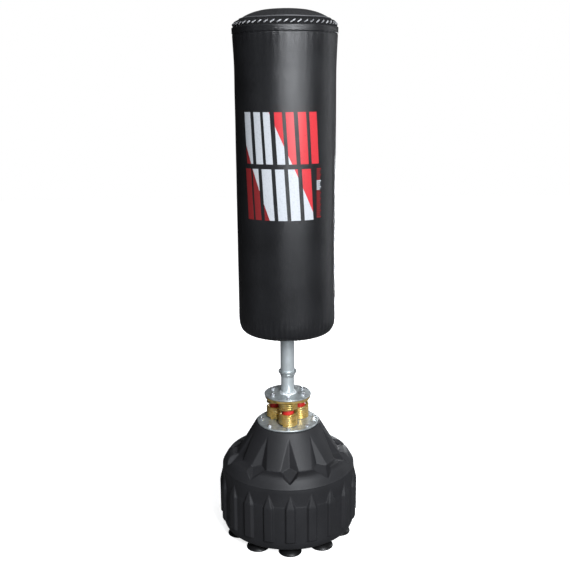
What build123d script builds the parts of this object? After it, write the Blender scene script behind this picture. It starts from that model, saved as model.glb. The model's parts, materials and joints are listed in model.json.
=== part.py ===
from build123d import *
import math
import os

# Free-standing punch bag, in millimetres. +Z is up, the front looks along -Y and the
# origin is on the floor under the middle of the base.

# Driving dimensions
TOTAL_HEIGHT = 1760.0

# Floor base: a hollow moulded ballast tank on suction cups
TANK_BOTTOM = 24.0
TANK_RADIUS = 232.0
TANK_UPPER_RADIUS = 230.5
LEDGE_HEIGHT = 185.0
LEDGE_SLOPE = 2.0
SHOULDER_BREAK = 12.0
TANK_CORNER = 14.0
SHOULDER_RIM = (229.0, 247.0)
SHOULDER_CURVE = [(223.2, 259.1), (214.0, 274.5), (203.0, 282.3), (190.0, 284.6), (176.7, 285.2)]
DECK_RADIUS = 111.5
DECK_HEIGHT = 395.0
DECK_BREAK = (2.4, 3.0)
WALL = 7.0
CAVITY_FLARE = 22.0
CAVITY_SHOULDER = [(205.0, 250.0), (192.0, 258.0), (146.0, 283.0), (107.0, 374.0), (103.0, 385.0)]
RIB_COUNT = 20
RIB_WIDTH = 38.0
RIB_BOTTOM = 56.0
RIB_SIDE_TOP = 183.0
RIB_PEAK = 231.0
RIB_HEIGHT = 11.0
RIB_DRAFT = 38.0
RIB_SINK = 1.0
KITE_COUNT = 10
KITE_CENTRE = (175.0, 300.0)
KITE_LEAN = 50.0
KITE_TOOL = (90.0, 220.0, 120.0)
KITE_TOP_FACET = [(0, 90.8, 25.7), (0, 12.8, -16.6), (32, -12.7, -8.9)]
KITE_FLOOR_FACET = [(0, 12.8, -16.6), (20, 12.8, -16.6), (0, -39.4, -3.4)]
KITE_END_FACET = [(32, -12.7, 4), (0, -63.2, 4), (7.6, -32.6, -12)]

# Suction cups
CUP_COUNT = 10
CUP_RING = 184.0
CUP_RADIUS = 39.0
CUP_LIP = 4.0
CUP_BELL_MIDDLE = (27.0, 13.0)
CUP_BELL_TOP = (16.0, 18.0)
CUP_NECK = 14.0
CUP_HOLLOW = 10.0
CUP_HOLLOW_MIDDLE = (20.0, 7.0)
CUP_STUD_RADIUS = 4.0
CUP_STUD_BOTTOM = 14.0
CUP_STUD_LENGTH = 28.0
CUP_INSERT_LENGTH = 22.0
CUP_BOSS_RADIUS = 12.0
CUP_BOSS_TOP = 52.0

# Filler neck and cap, on the back shoulder
FILLER_Y = 165.0
FILLER_FACE = 345.0
FILLER_BORE = 24.5
FILLER_BOSS = 34.0
FILLER_POCKET = 37.0
FILLER_POCKET_DEPTH = 40.0
FILLER_NECK_BOTTOM = 270.0
CUT_THROUGH = 180.0
GASKET = 2.0
GASKET_RADIUS = 30.0
CAP_RADIUS = 31.0
CAP_HEIGHT = 11.0
CAP_GAP = 0.2
CAP_EDGE = 2.5
CAP_PLUG = 24.3
CAP_PLUG_LENGTH = 16.0
PLUG_WALL = 4.0
CAP_GRIPS = 12
CAP_GRIP_RADIUS = 3.5

# Base flange and the spring unit
FLANGE_RADIUS = 106.0
FLANGE_THICK = 6.0
FLANGE_BOLTS = 8
FLANGE_BOLT_RING = 90.0
FLANGE_BOLT_LENGTH = 30.0
BOLT_RADIUS = 4.0
BOLT_HOLE = 4.5
BOLT_HEX_RADIUS = 7.5
BOLT_HEAD = 5.3
BOLT_EDGE = 0.6
PLATE_EDGE = 1.2
WASHER_RADIUS = 8.4
WASHER_THICK = 1.6
INSERT_RADIUS = 7.5
INSERT_BOSS = 12.0
FLANGE_INSERT_LENGTH = 27.0
FLANGE_BOSS_LENGTH = 33.0
SPRING_COUNT = 3
SPRING_RING = 47.5
SPRING_COIL = 24.5
SPRING_WIRE_WIDTH = 9.0
SPRING_WIRE_HEIGHT = 7.0
SPRING_TURNS = 8
SEAT_RADIUS = 19.5
SEAT_THICK = 7.0
SEAT_SCREW_HEAD = 7.0
LOWER_SCREW_LENGTH = 36.0
BUFFER_RADIUS = 19.0
BUFFER_TOP = 458.0
BUFFER_NOSE = 5.0
BUFFER_SCREW_DEPTH = 25.0
SPRING_PLATE_BOTTOM = 485.6
SPRING_PLATE_THICK = 8.0
SPRING_PLATE_RADIUS = 78.0
POST_PLATE_THICK = 6.0
POST_PLATE_RADIUS = 80.5
DISC_BOLTS = 6
DISC_BOLT_RING = 59.5
DISC_BOLT_LENGTH = 15.0

# Post
STUB_RADIUS = 22.5
STUB_BORE = 19.0
STUB_TOP = 585.0
FOOT_WELD = 7.0
FOOT_WELD_DIP = (2.0, 3.0)
COLLAR_RADIUS = 31.0
COLLAR_BOTTOM = 559.0
COLLAR_LIP = 8.0
COLLAR_ROOT = 0.8
SPIGOT_BORE = 15.5
SPIGOT_GAP = 5.0
SPIGOT_TOP = 720.0
POST_RADIUS = 24.0
POST_TOP = 1392.0
THRUST_CAP_THICK = 8.0
THRUST_CAP_RADIUS = 23.5
THRUST_CAP_EDGE = 1.5
THRUST_CAP_PLUG = 18.8
THRUST_CAP_DEPTH = 28.0

# Bag
BAG_RADIUS = 161.0
BAG_BOTTOM = 724.5
BAG_CORNER = 768.0
BAG_FLOOR_RADIUS = 141.0
BAG_CORNER_OUT = (155.5, 743.0)
BAG_CORNER_IN = (153.0, 745.5)
BAG_TOP_RADIUS = 166.0
FLARE_START = 1560.0
FLARE_MIDDLE = (164.2, 1620.0)
FLARE_LINING = 1580.0
COVER_THICK = 3.0
SLEEVE_BORE = 24.5
SLEEVE_RADIUS = 28.5
SLEEVE_PLATE = 8.0
SLEEVE_GAP = 0.3
BOARD_THICK = 6.0
BOARD_RADIUS = 140.0
CORE_RADIUS = 110.0
WRAP_RADIUS = 154.0
TEXTILE_RADIUS = 157.8
FOAM_TOP = 1690.0
COVER_TOP = 1710.0
RIM_BAND_HEIGHT = 20.0
RIM_BAND_THICK = 1.1
SKIN_GAP = 0.1
GUSSET_RADIUS = 160.5
CROWN_EDGE = 1717.0
CROWN_CURVE = [(157.0, 1720.8), (145.0, 1729.2), (120.0, 1742.0), (80.0, 1755.0)]
CROWN_LINING = [(80.0, 1752.0), (118.5, 1739.3), (142.8, 1727.0), (153.5, 1717.0)]
CROWN_THICK = 3.0
PAD_RADIUS = 152.0
PAD_CURVE = [(120.0, 1735.5), (78.0, 1749.5), (0.0, 1754.5)]
PIPING_RING = 142.5
PIPING_HEIGHT = 1731.3
PIPING_RADIUS = 2.0
STITCH_COUNT = 50
STITCH_HEIGHT = 1716.0
STITCH_RADIUS = 1.6
STITCH_LENGTH = 15.0
STITCH_LEAN = 58.0
STITCH_GAP = 0.2

# Heights worked out from the ones above
FLANGE_TOP = DECK_HEIGHT + FLANGE_THICK
SEAT_TOP = FLANGE_TOP + SEAT_THICK
POST_PLATE_BOTTOM = SPRING_PLATE_BOTTOM + SPRING_PLATE_THICK
POST_PLATE_TOP = POST_PLATE_BOTTOM + POST_PLATE_THICK
THRUST_TOP = POST_TOP + SLEEVE_GAP + THRUST_CAP_THICK
SLEEVE_TOP = THRUST_TOP + SLEEVE_GAP
BOARD_BOTTOM = BAG_BOTTOM + COVER_THICK
FOAM_BOTTOM = BOARD_BOTTOM + BOARD_THICK
FRONT = -90.0
ON_FLOOR = (Align.CENTER, Align.CENTER, Align.MIN)
HANGING = (Align.CENTER, Align.CENTER, Align.MAX)

os.makedirs("parts", exist_ok=True)


def save(part, name):
    part.label = name
    export_step(part, f"parts/{name}.step")


def tube(name, outer, inner, bottom, top, centre=(0, 0)):
    """A round tube or, with inner 0, a round bar or disc."""
    with BuildPart() as piece:
        with BuildSketch(Plane.XY.offset(bottom)):
            with Locations(centre):
                Circle(outer)
                if inner:
                    Circle(inner, mode=Mode.SUBTRACT)
        extrude(amount=top - bottom)
    save(piece.part, name)


def upright_plane(centre):
    """The vertical plane through a centre line, with local X outwards and local Y up."""
    return Plane(origin=(centre[0], centre[1], 0), x_dir=(1, 0, 0), z_dir=(0, -1, 0))


def turned(name, points, centre=(0, 0)):
    """A turned piece from the (radius, height) corners of its half section."""
    with BuildPart() as piece:
        with BuildSketch(upright_plane(centre)):
            Polygon(*points, align=None)
        revolve(axis=Axis((centre[0], centre[1], 0), (0, 0, 1)))
    save(piece.part, name)


def ring_point(radius, angle):
    return (radius * math.cos(math.radians(angle)), radius * math.sin(math.radians(angle)))


def ring_angles(count):
    """Equal steps round the axis, the first one at the front."""
    return [FRONT + i * 360 / count for i in range(count)]


def top_rim(builder):
    """The outer edge of a round plate's upper face."""
    rims = builder.edges().filter_by(GeomType.CIRCLE).group_by(SortBy.RADIUS)[-1]
    return rims.group_by(Axis.Z)[-1]


# Ballast tank -------------------------------------------------------------------------
def outline_plane(angle, radius, height, lean):
    """A plane that faces outwards at an angle round the axis, leaned back from upright."""
    out = Vector(math.cos(math.radians(angle)), math.sin(math.radians(angle)), 0)
    side = Vector(0, 0, 1).cross(out)
    normal = out * math.cos(math.radians(lean)) + Vector(0, 0, math.sin(math.radians(lean)))
    return Plane(origin=out * radius + Vector(0, 0, height), x_dir=side, z_dir=normal)


def facet_plane(frame, points, side=1):
    """The plane through three (across, up, out) points of a frame, facing out of it."""
    a, b, c = [frame.from_local_coords((side * across, up, out)) for across, up, out in points]
    normal = (b - a).cross(c - a)
    if normal.dot(frame.z_dir) < 0:
        normal = normal * -1
    return Plane(origin=a, z_dir=normal)


kite_frame = outline_plane(FRONT, *KITE_CENTRE, KITE_LEAN)
with BuildPart() as kite_tool:
    with Locations(kite_frame):
        Box(*KITE_TOOL)
    split(bisect_by=facet_plane(kite_frame, KITE_FLOOR_FACET), keep=Keep.TOP)
    for side in (1, -1):
        split(bisect_by=facet_plane(kite_frame, KITE_TOP_FACET, side), keep=Keep.TOP)
        split(bisect_by=facet_plane(kite_frame, KITE_END_FACET, side), keep=Keep.TOP)


with BuildPart() as base_shell:
    with BuildSketch(Plane.XZ):
        with BuildLine():
            underside = Line((0, TANK_BOTTOM), (TANK_RADIUS - TANK_CORNER, TANK_BOTTOM))
            corner = RadiusArc(underside @ 1, (TANK_RADIUS, TANK_BOTTOM + TANK_CORNER), -TANK_CORNER)
            wall = Polyline(
                corner @ 1,
                (TANK_RADIUS, LEDGE_HEIGHT - LEDGE_SLOPE),
                (TANK_UPPER_RADIUS, LEDGE_HEIGHT),
                (TANK_UPPER_RADIUS, SHOULDER_RIM[1] - SHOULDER_BREAK),
                SHOULDER_RIM,
            )
            shoulder = Spline(wall @ 1, *SHOULDER_CURVE)
            cone = Polyline(
                shoulder @ 1,
                (DECK_RADIUS + DECK_BREAK[0], DECK_HEIGHT - DECK_BREAK[1]),
                (DECK_RADIUS, DECK_HEIGHT),
                (0, DECK_HEIGHT),
                (0, TANK_BOTTOM),
            )
        make_face()
    revolve(axis=Axis.Z)
    for angle in ring_angles(RIB_COUNT):
        with BuildSketch(outline_plane(angle, TANK_UPPER_RADIUS - RIB_SINK, 0, 0)):
            half = RIB_WIDTH / 2
            Polygon(
                (-half, RIB_BOTTOM),
                (half, RIB_BOTTOM),
                (half, RIB_SIDE_TOP),
                (0, RIB_PEAK),
                (-half, RIB_SIDE_TOP),
                align=None,
            )
        extrude(amount=RIB_HEIGHT + RIB_SINK, taper=RIB_DRAFT)
    with Locations((0, FILLER_Y, FILLER_NECK_BOTTOM)):
        Cylinder(FILLER_BOSS, FILLER_FACE - FILLER_NECK_BOTTOM, align=ON_FLOOR)
    with Locations((0, FILLER_Y, FILLER_FACE)):
        Cylinder(FILLER_POCKET, FILLER_POCKET_DEPTH, align=ON_FLOOR, mode=Mode.SUBTRACT)
    for angle in ring_angles(KITE_COUNT):
        if math.isclose(angle, -FRONT):
            continue
        add(kite_tool.part.rotate(Axis.Z, angle - FRONT), mode=Mode.SUBTRACT)

with BuildPart() as tank_cavity:
    with BuildSketch(Plane.XZ):
        Polygon(
            (0, TANK_BOTTOM + WALL),
            (TANK_RADIUS - TANK_CORNER, TANK_BOTTOM + WALL),
            (TANK_UPPER_RADIUS - WALL, TANK_BOTTOM + CAVITY_FLARE),
            (TANK_UPPER_RADIUS - WALL, SHOULDER_RIM[1] - TANK_CORNER),
            *CAVITY_SHOULDER,
            (0, CAVITY_SHOULDER[-1][1]),
            align=None,
        )
    revolve(axis=Axis.Z)
    with Locations((0, FILLER_Y, FILLER_NECK_BOTTOM)):
        Cylinder(FILLER_BOSS, CUT_THROUGH, align=ON_FLOOR, mode=Mode.SUBTRACT)
    with PolarLocations(CUP_RING, CUP_COUNT, start_angle=FRONT):
        Cylinder(CUP_BOSS_RADIUS, 2 * CUP_BOSS_TOP, mode=Mode.SUBTRACT)
    with PolarLocations(FLANGE_BOLT_RING, FLANGE_BOLTS, start_angle=FRONT):
        with Locations((0, 0, DECK_HEIGHT)):
            Cylinder(INSERT_BOSS, 2 * FLANGE_BOSS_LENGTH, mode=Mode.SUBTRACT)

with BuildPart() as finished_shell:
    add(base_shell.part)
    add(tank_cavity.part, mode=Mode.SUBTRACT)
    with Locations((0, FILLER_Y, FILLER_FACE)):
        Cylinder(FILLER_BORE, CUT_THROUGH, mode=Mode.SUBTRACT)
    with PolarLocations(CUP_RING, CUP_COUNT, start_angle=FRONT):
        with Locations((0, 0, TANK_BOTTOM)):
            Cylinder(INSERT_RADIUS, CUP_INSERT_LENGTH, align=ON_FLOOR, mode=Mode.SUBTRACT)
    with PolarLocations(FLANGE_BOLT_RING, FLANGE_BOLTS, start_angle=FRONT):
        with Locations((0, 0, DECK_HEIGHT)):
            Cylinder(INSERT_RADIUS, FLANGE_INSERT_LENGTH, align=HANGING, mode=Mode.SUBTRACT)
save(finished_shell.part, "base_shell")

# Suction cups, their studs and the inserts they screw into ----------------------------
for number, angle in enumerate(ring_angles(CUP_COUNT), start=1):
    x, y = ring_point(CUP_RING, angle)
    with BuildPart() as cup:
        with BuildSketch(upright_plane((x, y))):
            with BuildLine():
                rim = Polyline(
                    (CUP_RADIUS - CUP_LIP, 0),
                    (CUP_RADIUS - 1, 0),
                    (CUP_RADIUS, 1),
                    (CUP_RADIUS, CUP_LIP),
                )
                bell = ThreePointArc(rim @ 1, CUP_BELL_MIDDLE, CUP_BELL_TOP)
                neck = Polyline(
                    bell @ 1,
                    (CUP_NECK, TANK_BOTTOM),
                    (CUP_STUD_RADIUS, TANK_BOTTOM),
                    (CUP_STUD_RADIUS, CUP_STUD_BOTTOM),
                )
                top = Polyline(neck @ 1, (0, CUP_STUD_BOTTOM), (0, CUP_HOLLOW))
                hollow = ThreePointArc(top @ 1, CUP_HOLLOW_MIDDLE, rim @ 0)
            make_face()
        revolve(axis=Axis((x, y, 0), (0, 0, 1)))
    save(cup.part, f"suction_cup_{number:02d}")

with BuildPart() as cup_studs:
    with BuildSketch(Plane.XY.offset(CUP_STUD_BOTTOM)):
        with PolarLocations(CUP_RING, CUP_COUNT, start_angle=FRONT):
            Circle(CUP_STUD_RADIUS)
    extrude(amount=CUP_STUD_LENGTH)
save(cup_studs.part, "cup_studs")

with BuildPart() as cup_inserts:
    with BuildSketch(Plane.XY.offset(TANK_BOTTOM)):
        with PolarLocations(CUP_RING, CUP_COUNT, start_angle=FRONT):
            Circle(INSERT_RADIUS)
            Circle(CUP_STUD_RADIUS, mode=Mode.SUBTRACT)
    extrude(amount=CUP_INSERT_LENGTH)
save(cup_inserts.part, "cup_inserts")

# Filler cap, which screws up out of its neck, and its gasket --------------------------
tube("cap_gasket", GASKET_RADIUS, FILLER_BORE, FILLER_FACE, FILLER_FACE + GASKET, (0, FILLER_Y))

with BuildPart() as fill_cap:
    cap_face = FILLER_FACE + GASKET + CAP_GAP
    with BuildSketch(Plane.XY.offset(cap_face)):
        with Locations((0, FILLER_Y)):
            Circle(CAP_RADIUS)
    extrude(amount=CAP_HEIGHT)
    fillet(fill_cap.edges().group_by(Axis.Z)[-1], radius=CAP_EDGE)
    with Locations((0, FILLER_Y)):
        with PolarLocations(CAP_RADIUS + CAP_GRIP_RADIUS / 2, CAP_GRIPS, start_angle=FRONT):
            with Locations((0, 0, cap_face)):
                Cylinder(CAP_GRIP_RADIUS, CAP_HEIGHT, align=ON_FLOOR, mode=Mode.SUBTRACT)
    with BuildSketch(Plane.XY.offset(cap_face)):
        with Locations((0, FILLER_Y)):
            Circle(CAP_PLUG)
            Circle(CAP_PLUG - PLUG_WALL, mode=Mode.SUBTRACT)
    extrude(amount=-CAP_PLUG_LENGTH)
save(fill_cap.part, "fill_cap")

# Base flange --------------------------------------------------------------------------
with BuildPart() as base_flange:
    with BuildSketch(Plane.XY.offset(DECK_HEIGHT)):
        Circle(FLANGE_RADIUS)
        with PolarLocations(FLANGE_BOLT_RING, FLANGE_BOLTS, start_angle=FRONT):
            Circle(BOLT_HOLE, mode=Mode.SUBTRACT)
    extrude(amount=FLANGE_THICK)
    chamfer(top_rim(base_flange), PLATE_EDGE)
    with PolarLocations(SPRING_RING, SPRING_COUNT, start_angle=FRONT):
        with Locations(Location((0, 0, DECK_HEIGHT), (180, 0, 0))):
            CounterSinkHole(BOLT_RADIUS, SEAT_SCREW_HEAD, FLANGE_THICK, counter_sink_angle=90)
save(base_flange.part, "base_flange")


def bolt_group(name, count, ring, seat, length):
    """Hexagon bolts with their heads on seat and plain shanks that reach down length."""
    with BuildPart() as bolts:
        with BuildSketch(Plane.XY.offset(seat)):
            with PolarLocations(ring, count, start_angle=FRONT):
                RegularPolygon(BOLT_HEX_RADIUS, 6)
        extrude(amount=BOLT_HEAD)
        chamfer(bolts.edges().group_by(Axis.Z)[-1], BOLT_EDGE)
        with BuildSketch(Plane.XY.offset(seat)):
            with PolarLocations(ring, count, start_angle=FRONT):
                Circle(BOLT_RADIUS)
        extrude(amount=-length)
    save(bolts.part, name)


def washer_group(name, count, ring, seat):
    with BuildPart() as washers:
        with BuildSketch(Plane.XY.offset(seat)):
            with PolarLocations(ring, count, start_angle=FRONT):
                Circle(WASHER_RADIUS)
                Circle(BOLT_HOLE, mode=Mode.SUBTRACT)
        extrude(amount=WASHER_THICK)
    save(washers.part, name)


washer_group("flange_washers", FLANGE_BOLTS, FLANGE_BOLT_RING, FLANGE_TOP)
bolt_group(
    "flange_bolts", FLANGE_BOLTS, FLANGE_BOLT_RING, FLANGE_TOP + WASHER_THICK, FLANGE_BOLT_LENGTH
)

with BuildPart() as flange_inserts:
    with BuildSketch(Plane.XY.offset(DECK_HEIGHT)):
        with PolarLocations(FLANGE_BOLT_RING, FLANGE_BOLTS, start_angle=FRONT):
            Circle(INSERT_RADIUS)
            Circle(BOLT_RADIUS, mode=Mode.SUBTRACT)
    extrude(amount=-FLANGE_INSERT_LENGTH)
save(flange_inserts.part, "flange_inserts")


# Spring unit: three coil springs round red buffers, between two plates ----------------
def spring_at(number, angle):
    """A coil spring of flat wire with closed ends, ground flat to the two plates."""
    height = SPRING_PLATE_BOTTOM - FLANGE_TOP
    pitch = height / SPRING_TURNS
    x, y = ring_point(SPRING_RING, angle)
    start = FLANGE_TOP - pitch / 2
    path = Helix(pitch=pitch, height=height + pitch, radius=SPRING_COIL, center=(0, 0, start))
    with BuildPart() as spring:
        with BuildSketch(Plane(origin=path @ 0, x_dir=(1, 0, 0), z_dir=(0, 1, 0))):
            Rectangle(SPRING_WIRE_WIDTH, SPRING_WIRE_HEIGHT)
        sweep(path=path, is_frenet=True)
        with Locations((0, 0, FLANGE_TOP)):
            Box(4 * SPRING_COIL, 4 * SPRING_COIL, height, align=ON_FLOOR, mode=Mode.INTERSECT)
    placed = spring.part.rotate(Axis.Z, angle).moved(Location((x, y, 0)))
    save(placed, f"spring_{number}")


def seat_screws(name, head_plane, up, length):
    """Flat-headed screws, one in each spring seat."""
    with BuildPart() as screws:
        with PolarLocations(SPRING_RING, SPRING_COUNT, start_angle=FRONT):
            with Locations(Location((0, 0, head_plane), (0 if up else 180, 0, 0))):
                Cone(SEAT_SCREW_HEAD, BOLT_RADIUS, SEAT_SCREW_HEAD - BOLT_RADIUS, align=ON_FLOOR)
                Cylinder(BOLT_RADIUS, length, align=ON_FLOOR)
    save(screws.part, name)


for number, angle in enumerate(ring_angles(SPRING_COUNT), start=1):
    spot = ring_point(SPRING_RING, angle)
    tube(f"lower_seat_{number}", SEAT_RADIUS, BOLT_RADIUS, FLANGE_TOP, SEAT_TOP, spot)
    turned(
        f"buffer_{number}",
        [
            (BOLT_RADIUS, SEAT_TOP),
            (BUFFER_RADIUS, SEAT_TOP),
            (BUFFER_RADIUS, BUFFER_TOP - BUFFER_NOSE),
            (BUFFER_RADIUS - BUFFER_NOSE, BUFFER_TOP),
            (0, BUFFER_TOP),
            (0, SEAT_TOP + BUFFER_SCREW_DEPTH),
            (BOLT_RADIUS, SEAT_TOP + BUFFER_SCREW_DEPTH),
        ],
        spot,
    )
    spring_at(number, angle)
    seat_bottom = SPRING_PLATE_BOTTOM - SEAT_THICK
    tube(f"upper_seat_{number}", SEAT_RADIUS, BOLT_RADIUS, seat_bottom, SPRING_PLATE_BOTTOM, spot)
seat_screws("lower_seat_screws", DECK_HEIGHT, True, LOWER_SCREW_LENGTH)
seat_screws("upper_seat_screws", POST_PLATE_BOTTOM, False, SPRING_PLATE_THICK + SEAT_THICK)

with BuildPart() as spring_plate:
    with BuildSketch(Plane.XY.offset(SPRING_PLATE_BOTTOM)):
        Circle(SPRING_PLATE_RADIUS)
        with PolarLocations(DISC_BOLT_RING, DISC_BOLTS, start_angle=FRONT):
            Circle(BOLT_RADIUS, mode=Mode.SUBTRACT)
    extrude(amount=SPRING_PLATE_THICK)
    with PolarLocations(SPRING_RING, SPRING_COUNT, start_angle=FRONT):
        with Locations((0, 0, POST_PLATE_BOTTOM)):
            CounterSinkHole(BOLT_RADIUS, SEAT_SCREW_HEAD, SPRING_PLATE_THICK, counter_sink_angle=90)
save(spring_plate.part, "spring_plate")

# Post ---------------------------------------------------------------------------------
with BuildPart() as post_plate:
    with BuildSketch(Plane.XY.offset(POST_PLATE_BOTTOM)):
        Circle(POST_PLATE_RADIUS)
        with PolarLocations(DISC_BOLT_RING, DISC_BOLTS, start_angle=FRONT):
            Circle(BOLT_HOLE, mode=Mode.SUBTRACT)
    extrude(amount=POST_PLATE_THICK)
    chamfer(top_rim(post_plate), PLATE_EDGE)
save(post_plate.part, "post_plate")

washer_group("disc_washers", DISC_BOLTS, DISC_BOLT_RING, POST_PLATE_TOP)
bolt_group("disc_bolts", DISC_BOLTS, DISC_BOLT_RING, POST_PLATE_TOP + WASHER_THICK, DISC_BOLT_LENGTH)

tube("stub_post", STUB_RADIUS, STUB_BORE, POST_PLATE_TOP, STUB_TOP)
turned(
    "post_weld",
    [
        (STUB_RADIUS, POST_PLATE_TOP),
        (STUB_RADIUS + FOOT_WELD, POST_PLATE_TOP),
        (STUB_RADIUS + FOOT_WELD_DIP[0], POST_PLATE_TOP + FOOT_WELD_DIP[1]),
        (STUB_RADIUS, POST_PLATE_TOP + FOOT_WELD),
    ],
)
turned(
    "stop_collar",
    [
        (STUB_RADIUS, COLLAR_BOTTOM),
        (STUB_RADIUS + COLLAR_ROOT, COLLAR_BOTTOM),
        (COLLAR_RADIUS, STUB_TOP - COLLAR_LIP),
        (COLLAR_RADIUS, STUB_TOP),
        (STUB_RADIUS, STUB_TOP),
    ],
)
tube("spigot", STUB_BORE, SPIGOT_BORE, POST_PLATE_TOP + SPIGOT_GAP, SPIGOT_TOP)
tube("upper_post", POST_RADIUS, STUB_BORE, STUB_TOP, POST_TOP)

# The bag turns on this plain bearing in the top of the post
with BuildPart() as thrust_cap:
    with BuildSketch(Plane.XY.offset(POST_TOP + SLEEVE_GAP)):
        Circle(THRUST_CAP_RADIUS)
    extrude(amount=THRUST_CAP_THICK)
    fillet(thrust_cap.edges().group_by(Axis.Z)[-1], radius=THRUST_CAP_EDGE)
    with BuildSketch(Plane.XY.offset(POST_TOP + SLEEVE_GAP)):
        Circle(THRUST_CAP_PLUG)
        Circle(THRUST_CAP_PLUG - PLUG_WALL, mode=Mode.SUBTRACT)
    extrude(amount=-THRUST_CAP_DEPTH)
save(thrust_cap.part, "thrust_cap")

# Bag ----------------------------------------------------------------------------------
tube("inner_sleeve", SLEEVE_RADIUS, SLEEVE_BORE, FOAM_BOTTOM, SLEEVE_TOP)
tube("sleeve_plate", SLEEVE_RADIUS, 0, SLEEVE_TOP, SLEEVE_TOP + SLEEVE_PLATE)
tube("bottom_board", BOARD_RADIUS, SLEEVE_RADIUS, BOARD_BOTTOM, FOAM_BOTTOM)
turned(
    "foam_core",
    [
        (SLEEVE_RADIUS, FOAM_BOTTOM),
        (CORE_RADIUS, FOAM_BOTTOM),
        (CORE_RADIUS, FOAM_TOP),
        (0, FOAM_TOP),
        (0, SLEEVE_TOP + SLEEVE_PLATE),
        (SLEEVE_RADIUS, SLEEVE_TOP + SLEEVE_PLATE),
    ],
)
turned(
    "foam_wrap",
    [
        (CORE_RADIUS, FOAM_BOTTOM),
        (BOARD_RADIUS, FOAM_BOTTOM),
        (WRAP_RADIUS, BAG_CORNER),
        (WRAP_RADIUS, FOAM_TOP),
        (CORE_RADIUS, FOAM_TOP),
    ],
)
tube("textile_wrap", TEXTILE_RADIUS, WRAP_RADIUS, BAG_CORNER, FOAM_TOP)

with BuildPart() as bottom_cover:
    with BuildSketch(Plane.XZ):
        with BuildLine():
            outside = Line((SLEEVE_RADIUS, BAG_BOTTOM), (BAG_FLOOR_RADIUS, BAG_BOTTOM))
            round_out = ThreePointArc(outside @ 1, BAG_CORNER_OUT, (BAG_RADIUS, BAG_CORNER))
            lap = Line(round_out @ 1, (BAG_RADIUS - COVER_THICK, BAG_CORNER))
            round_in = ThreePointArc(lap @ 1, BAG_CORNER_IN, (BAG_FLOOR_RADIUS, BOARD_BOTTOM))
            inside = Polyline(round_in @ 1, (SLEEVE_RADIUS, BOARD_BOTTOM), outside @ 0)
        make_face()
    revolve(axis=Axis.Z)
save(bottom_cover.part, "bottom_cover")

with BuildPart() as bag_cover:
    with BuildSketch(Plane.XZ):
        with BuildLine():
            side = Line((BAG_RADIUS, BAG_CORNER), (BAG_RADIUS, FLARE_START))
            flare = Spline(
                side @ 1, FLARE_MIDDLE, (BAG_TOP_RADIUS, COVER_TOP), tangents=[(0, 1), (0, 1)]
            )
            back = Polyline(
                flare @ 1,
                (BAG_TOP_RADIUS - COVER_THICK, COVER_TOP),
                (BAG_RADIUS - COVER_THICK, FLARE_LINING),
                (BAG_RADIUS - COVER_THICK, BAG_CORNER),
                side @ 0,
            )
        make_face()
    revolve(axis=Axis.Z)
save(bag_cover.part, "bag_cover")

band_bore = BAG_TOP_RADIUS + SKIN_GAP
tube("rim_band", band_bore + RIM_BAND_THICK, band_bore, COVER_TOP - RIM_BAND_HEIGHT, COVER_TOP)
tube("rim_gusset", GUSSET_RADIUS, GUSSET_RADIUS - COVER_THICK, FOAM_TOP, CROWN_EDGE)

with BuildPart() as rim_piping:
    with Locations((0, 0, PIPING_HEIGHT)):
        Torus(PIPING_RING, PIPING_RADIUS)
save(rim_piping.part, "rim_piping")

with BuildPart() as top_cover:
    with BuildSketch(Plane.XZ):
        with BuildLine():
            crown = Spline(
                (GUSSET_RADIUS, CROWN_EDGE),
                *CROWN_CURVE,
                (0, TOTAL_HEIGHT),
                tangents=[(-0.4, 1), (-1, 0)],
            )
            middle = Line((0, TOTAL_HEIGHT), (0, TOTAL_HEIGHT - CROWN_THICK))
            lining = Spline(middle @ 1, *CROWN_LINING, tangents=[(1, 0), (0.6, -1)])
            edge = Line(lining @ 1, crown @ 0)
        make_face()
    revolve(axis=Axis.Z)
    add(rim_piping.part, mode=Mode.SUBTRACT)
save(top_cover.part, "top_cover")

with BuildPart() as top_pad:
    with BuildSketch(Plane.XZ):
        with BuildLine():
            pad_side = Polyline((0, FOAM_TOP), (PAD_RADIUS, FOAM_TOP), (PAD_RADIUS, CROWN_EDGE))
            pad_crown = Spline(pad_side @ 1, *PAD_CURVE, tangents=[(-0.8, 0.6), (-1, 0)])
            axis_line = Line(pad_crown @ 1, pad_side @ 0)
        make_face()
    revolve(axis=Axis.Z)
save(top_pad.part, "top_pad")

with BuildPart() as rim_lacing:
    with PolarLocations(GUSSET_RADIUS + STITCH_RADIUS + STITCH_GAP, STITCH_COUNT, start_angle=FRONT):
        with Locations((0, 0, STITCH_HEIGHT)):
            Cylinder(STITCH_RADIUS, STITCH_LENGTH, rotation=(STITCH_LEAN, 0, 0))
save(rim_lacing.part, "rim_lacing")
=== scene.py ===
"""The looks of a free-standing punch bag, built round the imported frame.

Metres. +Z is up, the front looks along -Y, and the Z axis is the middle of the post.
"""
import json
import math
import random

import bmesh
import bpy
import numpy as np
from mathutils import Matrix, Vector


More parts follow.
